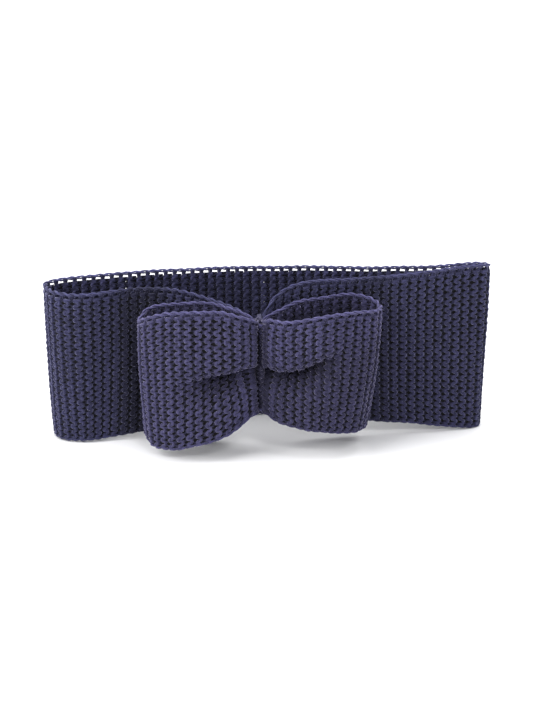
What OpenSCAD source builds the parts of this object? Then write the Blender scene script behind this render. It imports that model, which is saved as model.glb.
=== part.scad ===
// Knitted headband, laid flat and standing on its lower edge, with a knitted bow
// cinched at the front by a few turns of yarn.
// Millimetres, +Z up, the bow faces -Y. The origin lies on the surface that the
// headband stands on, at the middle of the whole object.

/* [Band] */
// Width of the flattened band, from fold to fold
band_width = 222; // [205:1:240]
// Height of the band at the middle of its back
band_height = 80.5; // [74:0.5:88]
// Thickness of the garter-stitch fabric, of the band and of the bow
fabric_thickness = 3; // [2.2:0.1:3.2]

/* [Bow] */
// Height of the band and the bow where the yarn gathers them
waist_height = 48.5; // [45:0.5:52]
// Depth of the crease in the bow's front, at its deepest
crease_depth = 6.5; // [3:0.5:8]

/* [Yarn] */
// Diameter of the yarn
yarn_d = 1.5; // [1.2:0.1:1.6]
// Turns of yarn wound round the bow and the band
wrap_turns = 3; // [2:1:4]
// Distance between one stitch and the next, along a row
stitch_pitch = 3.3; // [3:0.1:4]

/* [Fineness] */
// Facets between one station of a strip and the next
station_facets = 3; // [2:1:4]
// Facets over the height of a strip
height_facets = 8; // [6:2:12]

/* [Hidden] */

BAND_BLUE = [0.16, 0.16, 0.26];
BOW_BLUE = [0.20, 0.20, 0.32];
YARN_BLUE = [0.10, 0.10, 0.17];
$fn = 32;

// The outlines below are drawn about the plane of the two folds, and this puts
// the middle of the whole object's depth on Y = 0.
origin_y = 9.5;

// The drawn size of the band, which the driving sizes stretch.
drawn_width = 222;
drawn_height = 80.5;
stretch_x = band_width / drawn_width;
stretch_z = band_height / drawn_height;

// Where the yarn gathers the two strips.
waist_x = -6;
waist_middle = 43.7;
waist_foot = waist_middle - waist_height / 2;
waist_head = waist_middle + waist_height / 2;

// Stations of the band, once round, clockwise from above, starting at its seam.
// Each is [x, y] of the upper edge, [x, y] from there to the lower edge, the
// heights of the lower and the upper edge, and the share of the crease's depth.
BAND = [
    [3, -17.5, 0, 0, 17.5, 73, 0],
    [waist_x, -19, 0, 0, waist_foot, waist_head - 2, 0],
    [-15, -16.8, 0, 0, 15.5, 69.5, 0],
    [-25, -13, 0, 0, 10.5, 72.5, 0],
    [-42, -8.5, -1, -1, 6, 77, 0],
    [-58, -6, -2, -2, 3.5, 78, 0],
    [-75, -9, -3, -3, 1, 77.5, 0],
    [-92, -13, 0, -1.5, 0, 77, 0],
    [-104.5, -7.5, 2, -1, 0, 77.5, 0],
    [-109.5, 4.5, 2.5, 0, 0, 78, 0],
    [-102, 11, 1.5, 0, 0, 78.5, 0],
    [-82, 13.5, 0, 0, 0, 80, 0],
    [-55, 18, 0, 0, 0, 80.5, 0],
    [-25, 22, 0, 0, 0, 80.5, 0],
    [0, 23, 0, 0, 0, 80.5, 0],
    [25, 22, 0, 0, 0, 80.5, 0],
    [55, 17, 0, 0, 0, 81, 0],
    [82, 11.8, 0, 0, 0, 82.5, 0],
    [104, 9.6, 0, 0, 0, 84.5, 0],
    [109.5, 4.5, -0.5, 0, 0, 85, 0],
    [104.5, -1.5, 0, 0, 0, 86, 0],
    [88, -5.2, 1.5, 0, 2, 85.5, 0],
    [66, -8, 2, 0, 5.5, 83.5, 0],
    [45, -9.5, 1.5, 0, 8, 82.3, 0],
    [25, -13, 0, 0, 11, 82.5, 0],
    [12, -15.5, 0, 0, 14, 80, 0]
];
// Where the band is divided: the station numbers of its seam, hinges and folds.
FRONT_LEFT_BEND = 3;
LEFT_FOLD = 9;
BACK_LEFT_BEND = 13;
BACK_RIGHT_BEND = 15;
RIGHT_FOLD = 19;
FRONT_RIGHT_BEND = 24;

// Stations of the bow's strip, in the same form and the same way round: out of the
// waist and round the left loop, then back into the waist and round the right one.
BOW = [
    [-9.5, -31.5, 0, 0, waist_foot, waist_head + 1.5, 0.6],
    [-15, -34.8, 0, -1.5, 16.2, 71.5, 0.9],
    [-24, -37, 0, -3, 11.5, 74, 1],
    [-37, -38, 0, -3, 7.8, 74.7, 0.35],
    [-49, -36, 2.5, -2.5, 5.5, 73.7, 0],
    [-59, -30, 5, -2, 4.7, 70, 0],
    [-62.5, -22, 5, -1.5, 8, 66.5, 0],
    [-58.5, -15.5, 4, -1.5, 7, 70.5, 0],
    [-46, -13.5, 2, -1.5, 7, 72, 0],
    [-30, -16.3, 0, -1, 9, 73, 0.15],
    [-18, -20.2, 0, 0, 14, 71, 0.15],
    [-9.5, -22.7, 0, 0, waist_foot, waist_head, 0.1],
    [-2, -22.8, 0, 0, waist_foot, waist_head, 0.1],
    [12, -19.8, 0, 0, 16, 75.5, 0.15],
    [25, -17.2, 0, -1, 14, 75, 0.08],
    [38, -14.8, -3, -2, 13, 76, 0],
    [49.5, -17.5, -6, -3, 12.5, 74.5, 0],
    [52.5, -26, -7, -4, 12, 72, 0],
    [46, -35, -6, -2.5, 12.5, 73, 0],
    [36, -40.5, -4.5, -0.5, 13, 74, 0.05],
    [25, -42, -2, 0.5, 14, 73, 0.45],
    [13, -39.5, 0, 0.5, 15, 70, 1],
    [4, -35.5, 0, 0, 17, 69, 0.9],
    [-2, -31.5, 0, 0, waist_foot, waist_head + 1.5, 0.6]
];
// The station numbers at the ends of its two loops.
LEFT_LOOP = [0, 11];
RIGHT_LOOP = [12, 23];

// The crease: its height at the waist as a share of the bow's height, how much of
// that it climbs in each millimetre away from there, and its width above and below.
crease_level = 0.47;
left_crease_climb = -0.0006;
right_crease_climb = 0.0045;
crease_above = 0.07;
crease_below = 0.17;

// Room left at each side of a hinge line, and of a fold, as a share of one
// station's step.
hinge_room = 0.03;
fold_room = 0.06;

// A point between b and c on a smooth curve through a, b, c and d.
function curve(a, b, c, d, f) =
    0.5 * (2 * b + (c - a) * f + (2 * a - 5 * b + 4 * c - d) * f * f
        + (3 * b - a - 3 * c + d) * f * f * f);

// The station at place u of a ring of stations, stretched by the driving sizes.
function station(ring, u) =
    let (
        n = len(ring), i = floor(u + n), f = u + n - i,
        s = curve(ring[(i + n - 1) % n], ring[i % n], ring[(i + 1) % n], ring[(i + 2) % n], f)
    )
    [s[0] * stretch_x, s[1], s[2] * stretch_x, s[3], s[4] * stretch_z, s[5] * stretch_z, s[6]];

// A point on the middle of the fabric, t from 0 at the lower edge to 1 at the upper.
function edge_point(s, t) =
    let (low = pow(1 - t, 2))
    [s[0] + s[2] * low, s[1] + s[3] * low, s[4] + (s[5] - s[4]) * t];

// The level outward normal, which is on the left of the way the stations run.
function left_of(a, b) =
    let (d = [b[0] - a[0], b[1] - a[1]]) [-d[1], d[0], 0] / norm(d);

// How far the crease draws the fabric in, at share t of its height.
function crease(s, t) =
    let (
        away = s[0] - waist_x * stretch_x,
        climb = away < 0 ? left_crease_climb : right_crease_climb,
        w = t - crease_level - climb * abs(away)
    )
    crease_depth * s[6] * exp(-pow(w / (w > 0 ? crease_above : crease_below), 2));

// The points of one face of a strip, side 1 outside and -1 inside.
function face(ring, u0, u1, steps, side) =
    let (near = 0.02)
    [
        for (i = [0:steps], j = [0:height_facets])
            let (
                u = u0 + (u1 - u0) * i / steps, t = j / height_facets,
                s = station(ring, u),
                out = left_of(edge_point(station(ring, u - near), t),
                    edge_point(station(ring, u + near), t))
            )
            edge_point(s, t) + out * (side * fabric_thickness / 2 - crease(s, t))
    ];

// A closed strip of fabric between its outer and its inner face.
module strip(outer, inner, steps) {
    row = height_facets + 1;
    side = len(outer);
    function q(k, i, j) = k * side + i * row + j;
    last = height_facets;
    polyhedron(
        points = concat(outer, inner),
        faces = concat(
            [for (i = [0:steps - 1], j = [0:last - 1], k = [0, 1])
                k == 0 ? [q(0, i, j), q(0, i + 1, j), q(0, i + 1, j + 1)]
                    : [q(1, i, j), q(1, i + 1, j + 1), q(1, i + 1, j)]],
            [for (i = [0:steps - 1], j = [0:last - 1], k = [0, 1])
                k == 0 ? [q(0, i, j), q(0, i + 1, j + 1), q(0, i, j + 1)]
                    : [q(1, i, j), q(1, i, j + 1), q(1, i + 1, j + 1)]],
            [for (i = [0:steps - 1]) [q(0, i + 1, 0), q(0, i, 0), q(1, i, 0)]],
            [for (i = [0:steps - 1]) [q(0, i + 1, 0), q(1, i, 0), q(1, i + 1, 0)]],
            [for (i = [0:steps - 1]) [q(0, i, last), q(0, i + 1, last), q(1, i + 1, last)]],
            [for (i = [0:steps - 1]) [q(0, i, last), q(1, i + 1, last), q(1, i, last)]],
            [for (j = [0:last - 1]) [q(0, 0, j), q(0, 0, j + 1), q(1, 0, j + 1)]],
            [for (j = [0:last - 1]) [q(0, 0, j), q(1, 0, j + 1), q(1, 0, j)]],
            [for (j = [0:last - 1]) [q(0, steps, j + 1), q(0, steps, j), q(1, steps, j)]],
            [for (j = [0:last - 1]) [q(0, steps, j + 1), q(1, steps, j), q(1, steps, j + 1)]]
        ),
        convexity = 6
    );
}

// The part of a ring between two of its stations, less the room at its ends.
module ring_part(ring, from, to, room_from, room_to) {
    u0 = from + room_from;
    u1 = to - room_to;
    steps = ceil((to - from) * station_facets);
    translate([0, origin_y, 0])
        strip(face(ring, u0, u1, steps, 1), face(ring, u0, u1, steps, -1), steps);
}

module band_part(from, to, room_from = hinge_room, room_to = hinge_room) {
    color(BAND_BLUE) ring_part(BAND, from, to, room_from, room_to);
}

module bow_part(ends) {
    color(BOW_BLUE) ring_part(BOW, ends[0], ends[1], 0, 0);
}

module band_gather() { band_part(0, FRONT_LEFT_BEND); }
module band_front_left() { band_part(FRONT_LEFT_BEND, LEFT_FOLD, room_to = fold_room); }
module band_back_left() { band_part(LEFT_FOLD, BACK_LEFT_BEND, room_from = fold_room); }
module band_back_middle() { band_part(BACK_LEFT_BEND, BACK_RIGHT_BEND); }
module band_back_right() { band_part(BACK_RIGHT_BEND, RIGHT_FOLD, room_to = fold_room); }
module band_front_right() { band_part(RIGHT_FOLD, FRONT_RIGHT_BEND, room_from = fold_room); }
module band_front_tuck() { band_part(FRONT_RIGHT_BEND, len(BAND)); }

module bow_left_loop() { bow_part(LEFT_LOOP); }
module bow_right_loop() { bow_part(RIGHT_LOOP); }

// One slanted stitch that closes a seam, with its middle at the origin.
stitch_slant = 75;
module seam_stitch(length, thread_d) {
    rotate([0, stitch_slant, 0]) cylinder(d = thread_d, h = length, center = true);
}

// The stitches that join the two ends of the band, on the inside of the ring.
band_thread_d = 1.2;
band_thread_clear = 0.4;
band_stitch_length = 4;
module band_seam() {
    seam = station(BAND, 0);
    y = seam[1] + fabric_thickness / 2 + band_thread_clear + band_thread_d / 2;
    count = floor((seam[5] - seam[4]) / stitch_pitch) - 1;
    color(YARN_BLUE) for (i = [0:count - 1])
        translate([seam[0], origin_y + y,
                (seam[5] + seam[4]) / 2 + (i - (count - 1) / 2) * stitch_pitch])
            seam_stitch(band_stitch_length, band_thread_d);
}

// The pinched middle of the bow: two rolled pleats side by side in depth, with a
// groove down the back for the seam.
pleat_r = 2.9;
pleat_front_y = -30;
pleat_back_y = -21.7;
pleat_inset = 1.5;
groove_depth = 1.2;
cut_past = 1;
pleat_foot = waist_foot * stretch_z + pleat_inset;
pleat_head = waist_head * stretch_z - pleat_inset;
module bow_waist() {
    color(BOW_BLUE) translate([waist_x * stretch_x, origin_y, pleat_foot])
        difference() {
            linear_extrude(pleat_head - pleat_foot) {
                translate([0, pleat_front_y + pleat_r]) circle(pleat_r);
                translate([0, pleat_back_y - pleat_r]) circle(pleat_r);
                translate([-pleat_r, pleat_front_y + pleat_r])
                    square([2 * pleat_r, pleat_back_y - pleat_front_y - 2 * pleat_r]);
            }
            translate([-pleat_r, pleat_back_y - groove_depth, -cut_past])
                cube([2 * pleat_r, groove_depth + cut_past,
                    pleat_head - pleat_foot + 2 * cut_past]);
        }
}

// The stitches that join the two ends of the bow's strip, inside that groove.
bow_thread_d = 0.9;
bow_thread_clear = 0.1;
bow_stitch_length = 3.6;
module bow_seam() {
    count = floor((pleat_head - pleat_foot) / stitch_pitch) - 1;
    y = pleat_back_y - groove_depth + bow_thread_clear + bow_thread_d / 2;
    color(YARN_BLUE) for (i = [0:count - 1])
        translate([waist_x * stretch_x, origin_y + y,
                (pleat_foot + pleat_head) / 2 + (i - (count - 1) / 2) * stitch_pitch])
            seam_stitch(bow_stitch_length, bow_thread_d);
}

// The turns of yarn go under the lowest and over the highest place of what they hold.
yarn_r = yarn_d / 2;
wrap_gap = 0.1;
wrap_back_gap = 0.3;
wrap_bend_r = 1.1;
held = [for (u = [0.5:0.1:1.5]) station(BAND, u)];
wrap_foot_z = min([for (s = held) s[4]]) - wrap_gap - yarn_r;
wrap_head_z = max(waist_head * stretch_z, max([for (s = held) s[5]])) + wrap_gap + yarn_r;
wrap_front_y = pleat_front_y - wrap_gap - yarn_r;
wrap_back_y = max([for (s = held) s[1]]) + fabric_thickness / 2 + wrap_back_gap + yarn_r;

// One turn of yarn, a rectangle with rounded corners: places on it as [y, z, and the
// way out of the rectangle in y, in z].
wrap_depth = wrap_back_y - wrap_front_y;
wrap_height = wrap_head_z - wrap_foot_z;
corner_step = 15;
wrap_path = [
    for (corner = [[1, 1, 0], [0, 1, 90], [0, 0, 180], [1, 0, 270]], a = [0:corner_step:90])
        let (c = cos(corner[2] + a), s = sin(corner[2] + a))
        [
            wrap_bend_r * (1 + c) + corner[0] * (wrap_depth - 2 * wrap_bend_r),
            wrap_bend_r * (1 + s) + corner[1] * (wrap_height - 2 * wrap_bend_r),
            c, s
        ]
];
yarn_sides = 16;
module wrap_turn() {
    n = len(wrap_path);
    m = yarn_sides;
    function q(i, k) = (i % n) * m + k % m;
    polyhedron(
        points = [
            for (p = wrap_path, k = [0:m - 1])
                let (c = yarn_r * cos(360 * k / m), s = yarn_r * sin(360 * k / m))
                [s, p[0] + c * p[2], p[1] + c * p[3]]
        ],
        faces = concat(
            [for (i = [0:n - 1], k = [0:m - 1]) [q(i, k), q(i, k + 1), q(i + 1, k + 1)]],
            [for (i = [0:n - 1], k = [0:m - 1]) [q(i, k), q(i + 1, k + 1), q(i + 1, k)]]
        ),
        convexity = 6
    );
}

module centre_wrap() {
    color(YARN_BLUE) for (i = [0:wrap_turns - 1])
        translate([waist_x * stretch_x + (i - (wrap_turns - 1) / 2) * (yarn_d + wrap_gap),
                origin_y + wrap_front_y, wrap_foot_z])
            wrap_turn();
}

// The knot that ties off the wrap, on the inside of the band: two loops of yarn.
knot_r = 1.4;
module wrap_knot() {
    color(YARN_BLUE)
        translate([waist_x * stretch_x, origin_y + wrap_back_y + 2 * yarn_r + wrap_gap,
                (wrap_foot_z + wrap_head_z) / 2])
            for (side = [-1, 1])
                translate([side * (knot_r + yarn_r + wrap_gap / 2), 0, 0])
                    rotate([90, 0, 0]) rotate_extrude()
                        translate([knot_r, 0]) circle(yarn_r);
}

band_gather();
band_front_left();
band_back_left();
band_back_middle();
band_back_right();
band_front_right();
band_front_tuck();
band_seam();
bow_left_loop();
bow_right_loop();
bow_waist();
bow_seam();
centre_wrap();
wrap_knot();
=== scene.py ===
import math

import bpy
import numpy as np
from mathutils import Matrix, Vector


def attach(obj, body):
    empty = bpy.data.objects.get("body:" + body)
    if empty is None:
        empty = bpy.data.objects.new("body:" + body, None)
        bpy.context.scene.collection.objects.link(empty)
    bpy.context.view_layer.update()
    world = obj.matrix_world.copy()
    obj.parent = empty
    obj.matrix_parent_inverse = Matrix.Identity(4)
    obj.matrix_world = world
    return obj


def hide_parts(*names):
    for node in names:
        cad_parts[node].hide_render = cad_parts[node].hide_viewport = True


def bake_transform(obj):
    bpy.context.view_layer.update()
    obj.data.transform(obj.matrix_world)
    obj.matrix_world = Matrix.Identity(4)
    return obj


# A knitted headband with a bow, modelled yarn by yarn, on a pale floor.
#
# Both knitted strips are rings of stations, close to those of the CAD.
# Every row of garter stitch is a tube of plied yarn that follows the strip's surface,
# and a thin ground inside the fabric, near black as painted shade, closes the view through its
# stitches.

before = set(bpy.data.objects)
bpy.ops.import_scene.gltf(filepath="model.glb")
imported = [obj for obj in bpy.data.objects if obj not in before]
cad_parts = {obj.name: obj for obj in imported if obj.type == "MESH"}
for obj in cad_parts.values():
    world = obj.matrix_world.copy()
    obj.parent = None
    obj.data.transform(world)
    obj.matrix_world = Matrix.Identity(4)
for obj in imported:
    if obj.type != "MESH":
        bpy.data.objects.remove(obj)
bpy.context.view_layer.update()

MM = 0.001

# The stations of the two strips, in millimetres, clockwise from above. Each is the
# place of the upper edge (x, y), the way from there to the lower edge (x, y), the
# heights of the lower and upper edge, and the share of the bow's crease.
BAND_STATIONS = [
    (3, -17.5, 0, 0, 17.5, 76, 0),
    (-6, -19, 0, 0, 19.45, 65.95, 0),
    (-15, -16.8, 0, 0, 15.5, 69.5, 0),
    (-25, -13, 0, 0, 10.5, 72.5, 0),
    (-42, -8.5, -1, -1, 6, 77, 0),
    (-58, -6, -2, -1, 3.8, 78, 0),
    (-75, -9, -3, -0.5, 1.5, 77.5, 0),
    (-92, -13, 0, 1, 0.5, 77, 0),
    (-104.5, -7.5, 2, 0, 0.2, 77.5, 0),
    (-109.5, 4.5, 2.5, 0, 0, 78, 0),
    (-102, 11, 1.5, 0, 0, 78.5, 0),
    (-82, 13.5, 0, 0, 0, 80, 0),
    (-55, 18, 0, 0, 0, 80.5, 0),
    (-25, 22, 0, 0, 0, 80.5, 0),
    (0, 23, 0, 0, 0, 80.5, 0),
    (25, 22, 0, 0, 0, 80.5, 0),
    (55, 17, 0, 0, 0, 81, 0),
    (82, 11.8, 0, 0, 0, 82.5, 0),
    (104, 9.6, 0, 0, 0, 84.5, 0),
    (109.5, 4.5, -0.5, 0, 0, 85, 0),
    (104.5, -1.5, 0, 0, 0, 86, 0),
    (88, -5.2, 1.5, 0, 2, 85.5, 0),
    (66, -8, 2, 0, 5.5, 83.5, 0),
    (45, -9.5, 1.5, 0, 8, 82.3, 0),
    (25, -13, 0, 0, 11, 82.5, 0),
    (12, -15.5, 0, 0, 14, 81, 0),
]
BOW_STATIONS = [
    (-9.5, -33.5, 0, -0.5, 19.45, 69.45, 0.5),
    (-15, -35.8, 0, -2, 16.2, 71.5, 0.9),
    (-24, -37, 0, -3.5, 11.5, 74, 1),
    (-37, -38, 0, -3.5, 7.8, 74.7, 0.35),
    (-49, -36, 1.2, -3, 5.5, 73.7, 0),
    (-59, -30, 2.2, -2, 4.7, 70, 0),
    (-62.5, -22, 2.2, -1.5, 8, 66.5, 0),
    (-58.5, -15.5, 1.5, -1.5, 7, 70.5, 0),
    (-46, -13.5, 2, -1.5, 7, 72, 0),
    (-30, -16.3, 0, -1, 9, 73, 0.15),
    (-18, -20.2, 0, 0, 14, 71, 0.15),
    (-9.5, -22.7, 0, 0, 19.45, 67.95, 0.1),
    (-2, -22.8, 0, 0, 19.45, 67.95, 0.1),
    (12, -19.8, 0, 0, 16, 73.5, 0.15),
    (25, -17.2, 0, -1, 14, 75, 0.08),
    (38, -14.8, -3, -2, 13, 76, 0),
    (49.5, -17.5, -6, -3, 12.5, 74.5, 0),
    (52.5, -26, -7, -4, 12, 72, 0),
    (46, -35, -6, -2.5, 12.5, 73, 0),
    (36, -40.5, -4.5, 0, 13, 74, 0.05),
    (25, -42, -2, 1, 14, 73, 0.45),
    (13, -39.5, 0, 1, 15, 70, 1),
    (4, -36.5, 0, 0.5, 17, 69, 0.9),
    (-2, -33, 0, 0, 19.45, 69.45, 0.6),
]
ORIGIN_Y = 9.5 * MM
WAIST_X = -5.2 * MM

# The crease across the front of the bow, with a lobe above it that overhangs. Levels
# and widths are shares of the strip's height. -1 is left of the waist, 1 right of it,
# and CREASE_CLIMB is the share that the crease climbs in a metre away from the waist.
CREASE_DEPTH = 9.5 * MM
CREASE_LEVEL = 0.49
CREASE_CLIMB = {-1: -0.6, 1: 4.5}
CREASE_ABOVE = 0.045
CREASE_BELOW = 0.17
CREASE_SAG = {-1: 1.5 * MM, 1: 4 * MM}
SAG_LEVEL = 1.6 * CREASE_ABOVE
LOBE_SWELL = 1.5 * MM
LOBE_LEVEL = 0.22
LOBE_WIDTH = 0.14

# The pinch under the wrap: how deep and wide its groove in the bow is, and how far and
# over what width it squeezes both strips in height.
PINCH_DEPTH = 8 * MM
PINCH_WIDTH = 1.4 * MM
PINCH_SQUEEZE = 2.0 * MM
PINCH_REACH = 3.5 * MM

# Drawn places, in Y, that tell the stretches of the strips apart.
WRAPPED_Y = -15 * MM
PINCHED_Y = -21 * MM
BOW_FRONT_Y = -25 * MM
BAND_FRONT_Y = (-10 * MM, 0)
BAND_BACK_Y = 8 * MM

# Slow unevenness of soft fabric: waves round the strip, slope over its height, size.
RIPPLE = 0.35 * MM
RIPPLE_WAVES = [(11, 3.1, 1.0), (19, -5.3, 0.6)]

# Garter stitch. In even rows the legs of the loops close up round the forward bends,
# by LEG_SQUEEZE, and in odd rows they open there, by LEG_SPREAD.
ROW_STEP = 2.28 * MM
YARN_R = 0.69 * MM
LOOP_REACH = 2.2 * MM
LOOP_DEPTH = 0.64 * MM
LOOP_LEAN = 0.3 * MM
LEG_SQUEEZE = 0.4 * MM
LEG_SPREAD = 0.15 * MM
POINTS_PER_STITCH = 12
YARN_SIDES = 6
PLY_DEPTH = 0.13
PLY_PITCH = 3.1 * MM
BAND_STITCHES = 22
BOW_STITCHES = 18
ROWS_A_REPEAT = 4

# How uneven the loops are: in reach and depth, as a share, and in place.
REACH_WOBBLE = 0.05
DEPTH_WOBBLE = 0.1
ALONG_WOBBLE = 0.08 * MM
ACROSS_WOBBLE = 0.09 * MM

# The selvedge: a two-strand chain along each edge. Along the upper edges one strut a
# ridge holds it off, with an eyelet between each strut and the next.
CHAIN_IN = 0.95 * MM
CHAIN_R = 0.5 * MM
CHAIN_BULGE = 1.5 * CHAIN_R
LOWER_CHAIN_SHARE = 0.5
CHAIN_YARN_R = 0.5 * MM
CHAIN_STEP = 0.5 * MM
ROWS_A_HALF_TURN = 2
STRUT_HALF = 0.5 * MM
STRUT_LIFTS = np.array([0.0, 0.1, 0.5])
STRUT_OVERLAP = 0.2 * YARN_R
BAND_EYELET = 1.6 * MM
BOW_EYELET = 1.3 * MM
SNUG = -0.15 * MM

# Shade painted into the wool's colour. The relief is 0 deep between the stitches and
# about 1 on top of them. The colour is whole at RELIEF_TO and falls, in a straight
# line, to RELIEF_SHADE of itself at RELIEF_FROM and on below that.
# The chain has a relief of its own, above RELIEF_TO as painted light, and less where a strand
# dips, as painted shade. Inside the bow's loops the wool keeps BOW_INSIDE of its relief, as
# painted shade, and all of it at the upper edge.
RELIEF_FROM = 0.25
RELIEF_TO = 0.95
RELIEF_SHADE = 0.42
CHAIN_RELIEF = 1.25
CHAIN_DIP = 0.45
BAND_INSIDE = 1.0
BOW_INSIDE = 0.12
INSIDE_DEPTH = 0.13

# Painted shade: how much of the relief is lost in the crease, in the bow's lower half, under the
# wrap and in stretches of the band beside the bow, each from x to x. Painted light: how much is
# added along the upper edge.
CREASE_SHADE = {-1: 0.8, 1: 2.0}
CREASE_SHADE_SHIFT = 0.05
CREASE_SHADE_WIDTH = 0.12
LOWER_SHADE = {-1: 0.05, 1: 0.42}
LOWER_SHADE_BLUR = 0.04
PINCH_SHADE = 1.1
PINCH_SHADE_WIDTH = 3.2 * MM
# Painted shadows on the front of the band beside the bow: from x, to x, and how dark.
PAINTED_SHADOWS = [(-73 * MM, -50 * MM, 0.92), (45 * MM, 59 * MM, 0.5)]
PAINTED_SHADOW_BLUR = 1.9 * MM
EDGE_PAINTED_LIGHT = 0.25
BACK_EDGE_PAINTED_LIGHT = 0.9
EDGE_PAINTED_LIGHT_WIDTH = 0.07

GROUND_T = 0.5 * MM
GROUND_STEP = 2.5 * MM
GROUND_SHORT = 0.2 * MM
GROUND_POINTS = 61

# Steps for the directions of the surface: in stations, in metres and as a share.
STATION_STEP = 0.02
ALONG_STEP = 0.2 * MM
ACROSS_STEP = 0.002
SEED = 11


def bell(x, width):
    """1 at 0, and falling off to both sides."""
    return np.exp(-(x / width) ** 2)


def fade(x, blur):
    """1 well below 0 and 0 well above it."""
    return 1 / (1 + np.exp(x / blur))


def by_side(st, pair):
    """The value of pair for the side of the waist that a place is on."""
    return np.where(st[..., 0] < WAIST_X, pair[-1], pair[1])


class Strip:
    """A knitted strip bent into a ring. s runs along it and a across it, in metres, and
    t is the share of its height. st is a row of the stations' numbers, in metres."""

    SAMPLES_PER_STATION = 60
    PROFILE = np.linspace(0, 1, 101)

    def __init__(self, stations, stitches, eyelet, inside, painted_shadows):
        self.rows = np.array(stations, float)
        self.rows[:, :6] *= MM
        self.count = len(stations)
        self.stitches = stitches
        self.inside = inside
        self.painted_shadows = painted_shadows
        self.foot_in = 2 * CHAIN_IN + SNUG
        self.head_in = 2 * CHAIN_IN + eyelet
        u = np.linspace(0, self.count, self.count * self.SAMPLES_PER_STATION + 1)
        middle = self.edge_point(self.station(u), 0.5)
        steps = np.linalg.norm(np.diff(middle[:, :2], axis=0), axis=1)
        self.table_u = u
        self.table_s = np.concatenate([[0], np.cumsum(steps)])
        self.length = self.table_s[-1]
        row_count = ROWS_A_REPEAT * round(self.length / ROW_STEP / ROWS_A_REPEAT)
        self.row_step = self.length / row_count

    def station(self, u):
        """The numbers of a place between stations, on a smooth curve through them all."""
        i = np.floor(u).astype(int)
        f = (u - i)[..., None]
        a, b, c, d = (self.rows[(i + k) % self.count] for k in (-1, 0, 1, 2))
        return 0.5 * (2 * b + (c - a) * f + (2 * a - 5 * b + 4 * c - d) * f ** 2
                      + (3 * b - a - 3 * c + d) * f ** 3)

    @staticmethod
    def edge_point(st, t):
        """The place at t between the two edges, without crease, pinch or ripple."""
        t = np.broadcast_to(t, st.shape[:-1])
        low = (1 - t) ** 2
        return np.stack([
            st[..., 0] + st[..., 2] * low,
            st[..., 1] + st[..., 3] * low + ORIGIN_Y,
            st[..., 4] + (st[..., 5] - st[..., 4]) * t,
        ], axis=-1)

    def u_at(self, s):
        """The number, with its fraction, of the station at s, in the first turn."""
        turns = np.floor(s / self.length)
        return np.interp(s - turns * self.length, self.table_s, self.table_u)

    def s_at(self, number):
        """Where the station with that number is, also before 0 or past the last."""
        turns = math.floor(number / self.count)
        s = np.interp(number - turns * self.count, self.table_u, self.table_s)
        return float(s) + turns * self.length

    def point(self, s, t):
        """The place on the middle of the fabric."""
        u = self.u_at(s)
        st = self.station(u)
        p = self.edge_point(st, t)
        ahead = self.edge_point(self.station(u + STATION_STEP), t)
        behind = self.edge_point(self.station(u - STATION_STEP), t)
        along = ahead - behind
        out = np.stack([-along[..., 1], along[..., 0], 0 * along[..., 0]], axis=-1)
        out /= np.linalg.norm(out, axis=-1, keepdims=True)
        crease, sag = self.crease(st, t)
        pinch, squeeze = self.pinch(st, t)
        inwards = crease + pinch + self.ripple(s, t)
        p = p - out * inwards[..., None]
        p[..., 2] -= sag + squeeze
        return p

    @staticmethod
    def crease_place(st, t):
        """How far above the crease a place is, and how strong the crease is there."""
        climb = by_side(st, CREASE_CLIMB) * np.abs(st[..., 0] - WAIST_X)
        return t - CREASE_LEVEL - climb, np.clip(st[..., 6], 0, None)

    def crease(self, st, t):
        """How far the crease draws the fabric in, and how far the lobe above it sags."""
        w, share = self.crease_place(st, t)
        spread = np.where(w > 0, CREASE_ABOVE, CREASE_BELOW)
        swell = LOBE_SWELL * bell(w - LOBE_LEVEL, LOBE_WIDTH)
        sag = by_side(st, CREASE_SAG) * share * bell(w - SAG_LEVEL, SAG_LEVEL)
        return share * (CREASE_DEPTH * bell(w, spread) - swell), sag

    @staticmethod
    def pinch(st, t):
        """How far the wrap draws the bow in, and squeezes both strips in height."""
        away = st[..., 0] - WAIST_X
        depth = np.where(st[..., 1] < PINCHED_Y, PINCH_DEPTH * bell(away, PINCH_WIDTH), 0)
        squeeze = np.where(st[..., 1] < WRAPPED_Y, PINCH_SQUEEZE * bell(away, PINCH_REACH), 0)
        return depth, squeeze * (2 * t - 1)

    def ripple(self, s, t):
        """How far slow unevenness draws the fabric in."""
        turn = 2 * math.pi * s / self.length
        return RIPPLE * sum(size * np.sin(waves * turn + slope * t)
                            for waves, slope, size in RIPPLE_WAVES)

    def painted_shadow(self, st):
        """How much painted shadow lies on the front of the band beside the bow."""
        x, y = st[..., 0], st[..., 1]
        total = np.zeros_like(x)
        for x0, x1, most in self.painted_shadows:
            total += most * fade(x0 - x, PAINTED_SHADOW_BLUR) * fade(x - x1, PAINTED_SHADOW_BLUR)
        return np.where((y > BAND_FRONT_Y[0]) & (y < BAND_FRONT_Y[1]), total, 0)

    def shade(self, s, t):
        """What the relief of the wool at a place is multiplied by: painted shade in the crease,
        on the bow's lower half, under the wrap and beside the bow, and painted light along the
        upper edge.
        """
        st = self.station(self.u_at(s))
        w, share = self.crease_place(st, t)
        # Painted shade in the crease, on the lower half of the bow's front and under the wrap.
        fold = np.minimum(by_side(st, CREASE_SHADE) * share, 1)
        fold = fold * bell(w + CREASE_SHADE_SHIFT, CREASE_SHADE_WIDTH)
        front = st[..., 1] < BOW_FRONT_Y
        lower = np.where(front, by_side(st, LOWER_SHADE) * fade(w, LOWER_SHADE_BLUR), 0)
        near_waist = bell(st[..., 0] - WAIST_X, PINCH_SHADE_WIDTH)
        pinch = np.where(front, PINCH_SHADE * near_waist, 0)
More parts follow.
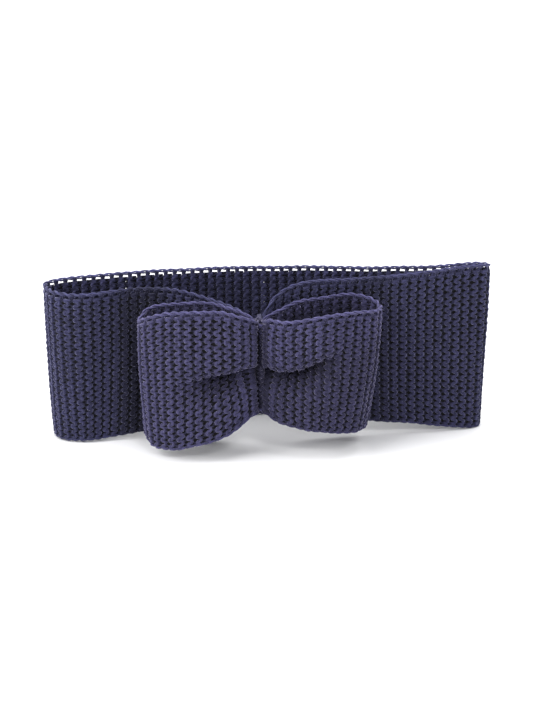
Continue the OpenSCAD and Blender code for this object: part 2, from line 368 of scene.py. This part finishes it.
        # Painted light along the upper edge, stronger on the back of the band.
        most = np.where(st[..., 1] > BAND_BACK_Y, BACK_EDGE_PAINTED_LIGHT, EDGE_PAINTED_LIGHT)
        painted_light = most * bell(1 - t, EDGE_PAINTED_LIGHT_WIDTH)
        return (1 - fold) * (1 - lower) * (1 - pinch) * (1 - self.painted_shadow(st)) + painted_light

    def surface(self, s, t):
        """Points on the middle of the fabric and its outward normals."""
        p = self.point(s, t)
        across = self.point(s, t + ACROSS_STEP) - p
        along = self.point(s + ALONG_STEP, t) - p
        n = np.cross(across, along)
        return p, n / np.linalg.norm(n, axis=-1, keepdims=True)

    def across_table(self, s):
        """For each place s, how far across the fabric every share in PROFILE is."""
        grid = np.broadcast_to(self.PROFILE, (len(s), len(self.PROFILE)))
        p = self.point(np.broadcast_to(s[:, None], grid.shape), grid)
        steps = np.linalg.norm(np.diff(p, axis=1), axis=-1)
        return np.concatenate([np.zeros((len(s), 1)), np.cumsum(steps, axis=1)], axis=1)

    def shares(self, table, a):
        """The shares of the height at distances a across the fabric, row by row."""
        return np.stack([np.interp(a[i], table[i], self.PROFILE) for i in range(len(table))])


class MeshParts:
    """Collects tubes and slabs of one piece and turns them into one mesh object."""

    def __init__(self):
        self.verts = []
        self.reliefs = []
        self.quads = []
        self.caps = []
        self.total = 0

    def add_tubes(self, paths, normals, radius, lift=None, inside=None, relief=1.0,
                  shade=None, sides=YARN_SIDES):
        """paths is (tubes, points, 3); normals keep the tubes from twisting. Where lift is
        given, it is how far the paths run out of the middle of the fabric, which gives their
        relief, the measure of their painted shade, and inside is how much of it the face inside
        the ring keeps, as painted shade inside the ring."""
        tubes, points = paths.shape[:2]
        tangent = np.gradient(paths, axis=1)
        tangent /= np.linalg.norm(tangent, axis=-1, keepdims=True)
        side = np.cross(tangent, normals)
        side /= np.linalg.norm(side, axis=-1, keepdims=True)
        up = np.cross(side, tangent)
        steps = np.linalg.norm(np.diff(paths, axis=1), axis=-1)
        length = np.concatenate([np.zeros((tubes, 1)), np.cumsum(steps, axis=1)], axis=1)
        angle = 2 * math.pi * np.arange(sides) / sides
        twist = 2 * math.pi * length[..., None] / PLY_PITCH
        r = radius * (1 + PLY_DEPTH * np.cos(2 * angle - twist))[..., None]
        ring = side[:, :, None] * np.cos(angle)[:, None] + up[:, :, None] * np.sin(angle)[:, None]
        self.verts.append((paths[:, :, None] + r * ring).reshape(-1, 3))
        relief = np.full((tubes, points, sides), relief)
        if lift is not None:
            out = lift[..., None] + np.sum(r * ring * normals[:, :, None], axis=-1)
            kept = np.where(out < 0, inside[..., None], 1.0)
            relief = kept * np.abs(out) / (LOOP_DEPTH + YARN_R)
        if shade is not None:
            relief = relief * shade[..., None]
        self.reliefs.append(relief.ravel())
        k = np.arange(tubes * points * sides).reshape(tubes, points, sides) + self.total
        nxt = np.roll(k, -1, axis=2)
        quads = np.stack([k[:, :-1], nxt[:, :-1], nxt[:, 1:], k[:, 1:]], axis=-1)
        self.quads.append(quads.reshape(-1, 4))
        self.caps += [cap[::-1].tolist() for cap in k[:, 0]]
        self.caps += [cap.tolist() for cap in k[:, -1]]
        self.total += tubes * points * sides

    def add_slab(self, outer, inner):
        """A closed slab between two grids of points of the same shape."""
        rows, cols = outer.shape[:2]
        size = rows * cols
        a = np.arange(size).reshape(rows, cols) + self.total
        b = a + size
        self.verts += [outer.reshape(-1, 3), inner.reshape(-1, 3)]
        self.reliefs.append(np.zeros(2 * size))
        faces = [np.stack([a[:-1, :-1], a[:-1, 1:], a[1:, 1:], a[1:, :-1]], axis=-1),
                 np.stack([b[:-1, :-1], b[1:, :-1], b[1:, 1:], b[:-1, 1:]], axis=-1)]
        rim = np.concatenate([a[0, :-1], a[:-1, -1], a[-1, :0:-1], a[:0:-1, 0]])
        rim_b = rim + size
        faces.append(np.stack([rim, rim_b, np.roll(rim_b, -1), np.roll(rim, -1)], axis=-1))
        self.quads += [f.reshape(-1, 4) for f in faces]
        self.total += 2 * size

    def build(self, name, material):
        """One smooth mesh object of all that was added, with the relief at its points."""
        verts = np.concatenate(self.verts)
        quads = np.concatenate(self.quads)
        caps = np.array(self.caps, int)
        cap_size = caps.shape[1] if len(caps) else 0
        starts = np.concatenate([np.arange(len(quads)) * 4,
                                 len(quads) * 4 + np.arange(len(caps)) * cap_size])
        corners = np.concatenate([quads.ravel(), caps.ravel()])
        mesh = bpy.data.meshes.new(name)
        mesh.vertices.add(len(verts))
        mesh.vertices.foreach_set("co", verts.astype(np.float32).ravel())
        mesh.loops.add(len(corners))
        mesh.loops.foreach_set("vertex_index", corners.astype(np.int32))
        mesh.polygons.add(len(starts))
        mesh.polygons.foreach_set("loop_start", starts.astype(np.int32))
        mesh.update(calc_edges=True)
        relief = mesh.attributes.new("relief", "FLOAT", "POINT")
        relief.data.foreach_set("value", np.concatenate(self.reliefs).astype(np.float32))
        mesh.validate()
        mesh.shade_smooth()
        mesh.materials.append(material)
        obj = bpy.data.objects.new(name, mesh)
        bpy.context.scene.collection.objects.link(obj)
        return obj


def stitch_lines(strip, rows, wide):
    """The loops of each row: along and across the fabric, and out of its middle."""
    n = strip.stitches
    tau = np.linspace(0, 2 * math.pi * n, n * POINTS_PER_STITCH + 1)
    stitch = tau / (2 * math.pi)
    face = np.where(rows % 2 == 0, 1.0, -1.0)[:, None]
    index = np.arange(n + 1)
    wobble = rng.normal(0, 1, (4, len(rows), n + 1))
    loose, deep, shift, lag = (np.stack([np.interp(stitch, index, w) for w in layer])
                               for layer in wobble)
    reach = LOOP_REACH * (1 + REACH_WOBBLE * loose)
    depth = LOOP_DEPTH * (1 + DEPTH_WOBBLE * deep)
    along = rows[:, None] * strip.row_step + reach * np.cos(tau) + ALONG_WOBBLE * lag
    lift = -face * depth * np.cos(tau)
    pitch = (wide - strip.foot_in - strip.head_in) / n
    squeeze = np.where(rows % 2 == 0, LEG_SQUEEZE, -LEG_SPREAD)[:, None]
    lean = LOOP_LEAN * np.sin(2 * tau) - squeeze * np.sin(tau)
    across = strip.foot_in + pitch * stitch + lean + ACROSS_WOBBLE * shift
    return along, across, lift


def row_ends(strip, rows, wide, lift, upper):
    """Where a row runs out of its last stitch, beside its neighbour, into the chain."""
    even = np.where(rows % 2 == 0, 1.0, -1.0)[:, None]
    towards = even if upper else -even
    beside = towards * (0.5 * strip.row_step - STRUT_HALF)
    inset = strip.head_in if upper else strip.foot_in
    reach_in = np.array([CHAIN_IN, (CHAIN_IN + inset) / 2, inset - STRUT_OVERLAP])
    a = wide - reach_in if upper else reach_in + 0 * wide
    s = rows[:, None] * strip.row_step + beside * np.ones(len(STRUT_LIFTS))
    z = lift * STRUT_LIFTS
    return (s[:, ::-1], a[:, ::-1], z[:, ::-1]) if upper else (s, a, z)


def row_paths(strip, first, last):
    """The yarn of rows first to last - 1, one tube a row: its points, the fabric's
    normals, its lift out of the fabric, its shade and what its inner face keeps."""
    rows = np.arange(first, last)
    table = strip.across_table(rows * strip.row_step)
    wide = table[:, -1:]
    along, across, lift = stitch_lines(strip, rows, wide)
    foot = row_ends(strip, rows, wide, lift[:, :1], False)
    head = row_ends(strip, rows, wide, lift[:, -1:], True)
    along = np.concatenate([foot[0], along, head[0]], axis=1)
    across = np.concatenate([foot[1], across, head[1]], axis=1)
    lift = np.concatenate([foot[2], lift, head[2]], axis=1)
    t = strip.shares(table, across)
    p, normal = strip.surface(along, t)
    # Painted shade on the face inside the ring, lifted off towards the upper edge.
    inside = strip.inside + (1 - strip.inside) * bell(1 - t, INSIDE_DEPTH)
    return p + normal * lift[..., None], normal, lift, strip.shade(along, t), inside


def chain_paths(strip, s_from, s_to, upper):
    """The two strands of the selvedge chain from s_from to s_to: points, normals, shade."""
    steps = round((s_to - s_from) / CHAIN_STEP)
    s = np.linspace(s_from, s_to, steps + 1)
    wide = strip.across_table(s)[:, -1]
    turn = math.pi * s / (ROWS_A_HALF_TURN * strip.row_step)
    paths, normals, shades = [], [], []
    wave = CHAIN_R if upper else LOWER_CHAIN_SHARE * CHAIN_R
    for start in (0, math.pi):
        inset = (CHAIN_IN + wave * np.cos(turn + start)) / wide
        t = 1 - inset if upper else inset
        p, n = strip.surface(s, t)
        paths.append(p + n * (CHAIN_BULGE * np.sin(turn + start))[:, None])
        normals.append(n)
        # Painted shade where a strand dips into the fabric.
        dip = CHAIN_DIP * (1 + np.cos(turn + start)) / 2
        shades.append(strip.shade(s, t) * (1 - dip))
    return np.stack(paths), np.stack(normals), np.stack(shades)


def knit_piece(name, strip, first, last, material):
    """The knitting of rows first to last - 1, with the chains along both edges."""
    parts = MeshParts()
    paths, normals, lift, shade, inside = row_paths(strip, first, last)
    parts.add_tubes(paths, normals, YARN_R, lift, inside, shade=shade)
    s_from = (first - 0.5) * strip.row_step
    s_to = (last - 0.5) * strip.row_step
    for upper in (False, True):
        paths, normals, shade = chain_paths(strip, s_from, s_to, upper)
        # The chain's own relief, above RELIEF_TO, paints it lighter.
        parts.add_tubes(paths, normals, CHAIN_YARN_R, relief=CHAIN_RELIEF, shade=shade)
    return parts.build(name, material)


def ground_piece(name, strip, first, last, material):
    """The ground inside the same rows, and how wide it is on average."""
    parts = MeshParts()
    s_from = (first - 0.5) * strip.row_step + GROUND_SHORT
    s_to = (last - 0.5) * strip.row_step - GROUND_SHORT
    s = np.linspace(s_from, s_to, round((s_to - s_from) / GROUND_STEP) + 1)
    table = strip.across_table(s)
    share = np.linspace(0, 1, GROUND_POINTS)
    inside = table[:, -1:] - strip.foot_in - strip.head_in
    t = strip.shares(table, strip.foot_in + inside * share)
    p, n = strip.surface(np.broadcast_to(s[:, None], t.shape), t)
    parts.add_slab(p + n * GROUND_T / 2, p - n * GROUND_T / 2)
    return parts.build(name, material), float(np.mean(inside))


# Wool. Its colour drifts between a dark and a light tone, reached at those shares of
# the drift's noise, and a finer noise stands for its fibres.
WOOL_ROUGHNESS = 0.9
WOOL_SPECULAR = 0.25
SHEEN_ROUGHNESS = 0.4
DRIFT_SCALE = 420
DRIFT_DETAIL = 5
DRIFT_DARK = 0.3
DRIFT_LIGHT = 0.72
FIBRE_SCALE = 2600
FIBRE_DETAIL = 3
BUMP_STRENGTH = 0.6
BUMP_HEIGHT = 0.15 * MM

# The sockets of a Mix node that take and give colours.
MIX_A = 6
MIX_B = 7
MIX_RESULT = 2


def noise(nodes, links, coords, scale, detail):
    """A noise that is fixed to the piece, from 0 to 1."""
    node = nodes.new("ShaderNodeTexNoise")
    node.inputs["Scale"].default_value = scale
    node.inputs["Detail"].default_value = detail
    links.new(coords.outputs["Object"], node.inputs["Vector"])
    return node.outputs["Fac"]


def by_relief(nodes, links, colour):
    """The colour with the painted shade and light of its relief: darker where the relief is low,
    lighter where it is above RELIEF_TO.
    """
    relief = nodes.new("ShaderNodeAttribute")
    relief.attribute_name = "relief"
    depth = nodes.new("ShaderNodeMapRange")
    depth.clamp = False
    depth.inputs["From Min"].default_value = RELIEF_FROM
    depth.inputs["From Max"].default_value = RELIEF_TO
    depth.inputs["To Min"].default_value = RELIEF_SHADE
    depth.inputs["To Max"].default_value = 1.0
    shade = nodes.new("ShaderNodeMix")
    shade.data_type = "RGBA"
    shade.blend_type = "MULTIPLY"
    shade.inputs["Factor"].default_value = 1.0
    links.new(relief.outputs["Fac"], depth.inputs["Value"])
    links.new(colour, shade.inputs[MIX_A])
    links.new(depth.outputs["Result"], shade.inputs[MIX_B])
    return shade.outputs[MIX_RESULT]


def wool(name, dark, light, tint, sheen):
    """Plied wool: colour that drifts along the yarn, with painted shade and light by its relief,
    fine fibre bump and sheen.
    """
    mat = bpy.data.materials.new(name)
    mat.use_nodes = True
    nodes, links = mat.node_tree.nodes, mat.node_tree.links
    shader = nodes["Principled BSDF"]
    shader.inputs["Roughness"].default_value = WOOL_ROUGHNESS
    shader.inputs["Specular IOR Level"].default_value = WOOL_SPECULAR
    shader.inputs["Sheen Weight"].default_value = sheen
    shader.inputs["Sheen Roughness"].default_value = SHEEN_ROUGHNESS
    shader.inputs["Sheen Tint"].default_value = (*tint, 1)
    coords = nodes.new("ShaderNodeTexCoord")
    ramp = nodes.new("ShaderNodeValToRGB")
    ramp.color_ramp.elements[0].position = DRIFT_DARK
    ramp.color_ramp.elements[0].color = (*dark, 1)
    ramp.color_ramp.elements[1].position = DRIFT_LIGHT
    ramp.color_ramp.elements[1].color = (*light, 1)
    drift = noise(nodes, links, coords, DRIFT_SCALE, DRIFT_DETAIL)
    links.new(drift, ramp.inputs["Fac"])
    colour = by_relief(nodes, links, ramp.outputs["Color"])
    links.new(colour, shader.inputs["Base Color"])
    bump = nodes.new("ShaderNodeBump")
    bump.inputs["Strength"].default_value = BUMP_STRENGTH
    bump.inputs["Distance"].default_value = BUMP_HEIGHT
    fibre = noise(nodes, links, coords, FIBRE_SCALE, FIBRE_DETAIL)
    links.new(fibre, bump.inputs["Height"])
    links.new(bump.outputs["Normal"], shader.inputs["Normal"])
    return mat


# The bow's wool is set lighter than the band's, as painted light on the bow, which stands forward
# in the light.
BAND_WOOL = wool("band_wool", (0.020, 0.020, 0.050), (0.047, 0.047, 0.114),
                 (0.62, 0.62, 0.95), 0.5)
BOW_WOOL = wool("bow_wool", (0.030, 0.0285, 0.071), (0.070, 0.0655, 0.155),
                (0.68, 0.64, 0.94), 0.5)
# The ties' wool is set darker than the bow's, as painted shade on the wrap deep in its groove.
YARN_WOOL = wool("tie_wool", (0.016, 0.015, 0.034), (0.036, 0.034, 0.074),
                 (0.4, 0.4, 0.6), 0.3)
# The ground is near black: painted shade for the depths of the fabric between its stitches.
GROUND_PAINTED_SHADE = wool("ground_painted_shade", (0.005, 0.004, 0.008), (0.012, 0.010, 0.019),
                   (0.1, 0.1, 0.15), 0.1)

rng = np.random.default_rng(SEED)
band = Strip(BAND_STATIONS, BAND_STITCHES, BAND_EYELET, BAND_INSIDE, PAINTED_SHADOWS)
bow = Strip(BOW_STATIONS, BOW_STITCHES, BOW_EYELET, BOW_INSIDE, [])


# Each piece: name, first and last station, two bodies, where a bend between them starts
# and ends, and the CAD nodes that it stands for. Only the name, the stations and the nodes are
# read.
BAND_PIECES = [
    ("band_1_waist", 0, 5.5, "bow_centre", "front_left", (-12, 0, 0), (-40, 0, 0),
     ["band_gather"]),
    ("band_2_left_front", 5.5, 9, "front_left", "back_left", (-98, -13, 0), (-121, 22, 0),
     ["band_front_left"]),
    ("band_2_left_back", 9, 11.5, "front_left", "back_left", (0, -0.5, 0), (0, 9.5, 0),
     ["band_front_left"]),
    ("band_3_back_left", 11.5, 14, "back_left", "back_middle", (-44, 0, 0), (-6, 0, 0),
     ["band_back_left"]),
    ("band_4_back_right", 14, 17, "back_middle", "back_right", (6, 0, 0), (44, 0, 0),
     ["band_back_middle"]),
    ("band_5_right_fold", 17, 21.6, "back_right", "front_right", (0, 7.5, 0), (0, -2, 0),
     ["band_back_right"]),
    ("band_6_tuck", 21.6, 26, "front_right", "front_tuck", (40, 0, 0), (12, 0, 0),
     ["band_front_right", "band_front_tuck"]),
]
BOW_PIECES = [
    ("bow_left", -0.5, 11.5, "bow_centre", "left_loop", (-8, 0, 0), (-20, 0, 0),
     ["bow_left_loop", "bow_waist"]),
    ("bow_right", 11.5, 23.5, "bow_centre", "right_loop", (-3.5, 0, 0), (9, 0, 0),
     ["bow_right_loop"]),
]


def row_near(strip, station):
    """The number of the row nearest to a station."""
    return round(strip.s_at(station) / strip.row_step)


def strip_piece(strip, item, material):
    """One stretch of a strip: its knitting and the ground inside it, with the CAD nodes they
    stand for hidden.
    """
    name, a, b, body_a, body_b, start, end, nodes = item
    first, last = row_near(strip, a), row_near(strip, b)
    knit = knit_piece(name + "_knit", strip, first, last, material)
    ground, width = ground_piece(name + "_ground", strip, first, last, GROUND_PAINTED_SHADE)
    for piece in (knit, ground):
        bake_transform(piece)
    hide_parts(*nodes)


for item in BAND_PIECES:
    strip_piece(band, item, BAND_WOOL)
for item in BOW_PIECES:
    strip_piece(bow, item, BOW_WOOL)


# ---- the yarn that ties it all: the wrap, its knot and the two seams ----

WRAP_YARN_R = 0.5 * MM
BAND_SEAM_YARN_R = 0.45 * MM
BOW_SEAM_YARN_R = 0.4 * MM
TIE_SIDES = 8

# What follows, up to the tie pieces, is in millimetres, as the stations are.
TIE_X = WAIST_X / MM
TIE_SHIFT_Y = ORIGIN_Y / MM
WRAP_TURNS = 3
WRAP_WAVES_A_TURN = 4 / 3
WRAP_SPREAD = 0.6
WRAP_LAP = 0.45
WRAP_FRONT_Y = -27.4
WRAP_BACK_Y = -16.6
WRAP_FOOT_Z = 20.0
WRAP_HEAD_Z = 66.6
WRAP_CORNER = 2.0
WRAP_CORNER_POINTS = 7
WRAP_POINTS = 240

KNOT_IN = 2.0
KNOT_Z = 44.0
KNOT_SIZE = 0.95
KNOT_DEPTH = 0.9
KNOT_GAP_ANGLE = 0.25
KNOT_POINTS = 90
FIRST_TAIL = np.array([[-1.6, 0.5, -6.0]])
LAST_TAIL = np.array([[2.2, 0.6, -7.5]])
TAIL_POINTS = 14

SEAM_R = 1.3
SEAM_PITCH = 3.3
SEAM_FLATNESS = 0.45
SEAM_POINTS_A_TURN = 16


def wrap_line():
    """One winding of WRAP_TURNS turns, whose turns cross each other now and then."""
    y0, y1, z0, z1, r = WRAP_FRONT_Y, WRAP_BACK_Y, WRAP_FOOT_Z, WRAP_HEAD_Z, WRAP_CORNER
    ring = []
    for cy, cz, begin in ((y1 - r, z1 - r, 0), (y0 + r, z1 - r, 90),
                          (y0 + r, z0 + r, 180), (y1 - r, z0 + r, 270)):
        for a in np.radians(np.linspace(begin, begin + 90, WRAP_CORNER_POINTS)):
            ring.append((cy + r * math.cos(a), cz + r * math.sin(a)))
    ring = np.array(ring + ring[:1])
    place = np.concatenate([[0], np.cumsum(np.linalg.norm(np.diff(ring, axis=0), axis=1))])
    turns = np.linspace(0, WRAP_TURNS, WRAP_POINTS)
    s = (turns % 1) * place[-1]
    y = np.interp(s, place, ring[:, 0])
    z = np.interp(s, place, ring[:, 1])
    wave = 2 * math.pi * turns * WRAP_WAVES_A_TURN
    x = TIE_X + WRAP_SPREAD * np.cos(wave)
    y = y + WRAP_LAP * np.sin(wave)
    return np.stack([x, y + TIE_SHIFT_Y, z], axis=-1)


def knot_line():
    """An overhand knot with two short tails, on the inside of the band."""
    centre = np.array([TIE_X, WRAP_BACK_Y + KNOT_IN + TIE_SHIFT_Y, KNOT_Z])
    t = np.linspace(KNOT_GAP_ANGLE, 2 * math.pi - KNOT_GAP_ANGLE, KNOT_POINTS)
    x = KNOT_SIZE * (np.sin(t) + 2 * np.sin(2 * t))
    z = KNOT_SIZE * (np.cos(t) - 2 * np.cos(2 * t))
    y = -KNOT_DEPTH * np.sin(3 * t)
    loop = np.stack([x, y, z], axis=-1)
    drop = np.linspace(0, 1, TAIL_POINTS)[1:, None]
    first = loop[:1] + drop[::-1] * FIRST_TAIL
    last = loop[-1:] + drop * LAST_TAIL
    return np.concatenate([first, loop, last]) + centre


def seam_line(x, y, foot, head):
    """Whipstitches over a seam: a flattened helix up it."""
    turns = (head - foot) / SEAM_PITCH
    t = np.linspace(0, 2 * math.pi * turns, int(turns * SEAM_POINTS_A_TURN) + 1)
    z = foot + (head - foot) * t / t[-1]
    across = x + SEAM_R * np.cos(t)
    out = y + TIE_SHIFT_Y + SEAM_FLATNESS * SEAM_R * np.sin(t)
    return np.stack([across, out, z], axis=-1)


def tie_piece(name, line, normal, radius, body, node):
    """Plied yarn along a line, riding on one body."""
    parts = MeshParts()
    path = line[None] * MM
    parts.add_tubes(path, np.broadcast_to(normal, path.shape), radius, sides=TIE_SIDES)
    piece = parts.build(name, YARN_WOOL)
    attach(piece, body)
    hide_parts(node)


tie_piece("centre_wrap_yarn", wrap_line(), (1, 0, 0), WRAP_YARN_R, "bow_centre", "centre_wrap")
tie_piece("wrap_knot_yarn", knot_line(), (0.3, 1, 0.2), WRAP_YARN_R, "bow_centre", "wrap_knot")
tie_piece("band_seam_yarn", seam_line(3, -15.9, 19.5, 69), (0, 0.2, 1), BAND_SEAM_YARN_R,
          "front_tuck", "band_seam")
tie_piece("bow_seam_yarn", seam_line(-6, -22.6, 21.5, 65.5), (0, 0.2, 1), BOW_SEAM_YARN_R,
          "bow_centre", "bow_seam")


# ---- stage ----

CAMERA_AZIMUTH = math.radians(-3)
CAMERA_ELEVATION = math.radians(18)
CAMERA_DISTANCE = 0.7
CAMERA_TARGET = np.array([-0.6 * MM, ORIGIN_Y, 40 * MM])
CAMERA_LENS = 70.9
CAMERA_CLIP = 0.01
FLOOR_HALF = 6.0
FLOOR_COLOUR = (0.93, 0.93, 0.94, 1)
FLOOR_ROUGHNESS = 0.9
SKY_COLOUR = (0.97, 0.98, 1.0, 1)
SKY_STRENGTH = 0.4

# Each light: name, place, what it points at, size in metres and power in watts.
LIGHTS = [
    ("left", (-1.0, -0.5, 0.8), (0, 0, 0.04), 1.0, 17),
    ("key", (0.3, -1.1, 1.0), (0, 0, 0.04), 0.3, 6),
    ("top", (0.1, 0.2, 1.3), (0, 0, 0.04), 1.2, 17),
    ("back", (0, 3.2, 2.0), (0, 3.3, 0), 3.0, 70),
]


def aimed(obj, place, aim):
    """Puts a camera or light in the scene at a place, pointed at another."""
    obj.location = place
    obj.rotation_mode = "QUATERNION"
    obj.rotation_quaternion = (Vector(aim) - Vector(place)).to_track_quat("-Z", "Y")
    bpy.context.scene.collection.objects.link(obj)


def camera():
    back = np.array([math.sin(CAMERA_AZIMUTH) * math.cos(CAMERA_ELEVATION),
                     -math.cos(CAMERA_AZIMUTH) * math.cos(CAMERA_ELEVATION),
                     math.sin(CAMERA_ELEVATION)])
    cam = bpy.data.objects.new("camera", bpy.data.cameras.new("camera"))
    cam.data.lens = CAMERA_LENS
    cam.data.clip_start = CAMERA_CLIP
    aimed(cam, CAMERA_TARGET + CAMERA_DISTANCE * back, CAMERA_TARGET)
    bpy.context.scene.camera = cam


def area_light(name, place, aim, size, power):
    light = bpy.data.objects.new(name, bpy.data.lights.new(name, "AREA"))
    light.data.size = size
    light.data.energy = power
    aimed(light, place, aim)


def floor():
    mesh = bpy.data.meshes.new("floor")
    e = FLOOR_HALF
    mesh.from_pydata([(-e, -e, 0), (e, -e, 0), (e, e, 0), (-e, e, 0)], [], [(0, 1, 2, 3)])
    obj = bpy.data.objects.new("floor", mesh)
    mat = bpy.data.materials.new("floor")
    mat.use_nodes = True
    shader = mat.node_tree.nodes["Principled BSDF"]
    shader.inputs["Base Color"].default_value = FLOOR_COLOUR
    shader.inputs["Roughness"].default_value = FLOOR_ROUGHNESS
    mesh.materials.append(mat)
    bpy.context.scene.collection.objects.link(obj)


def sky():
    world = bpy.data.worlds.new("studio")
    world.use_nodes = True
    background = world.node_tree.nodes["Background"]
    background.inputs["Color"].default_value = SKY_COLOUR
    background.inputs["Strength"].default_value = SKY_STRENGTH
    bpy.context.scene.world = world


camera()
floor()
sky()
for light in LIGHTS:
    area_light(*light)
bpy.context.scene.view_settings.view_transform = "Standard"
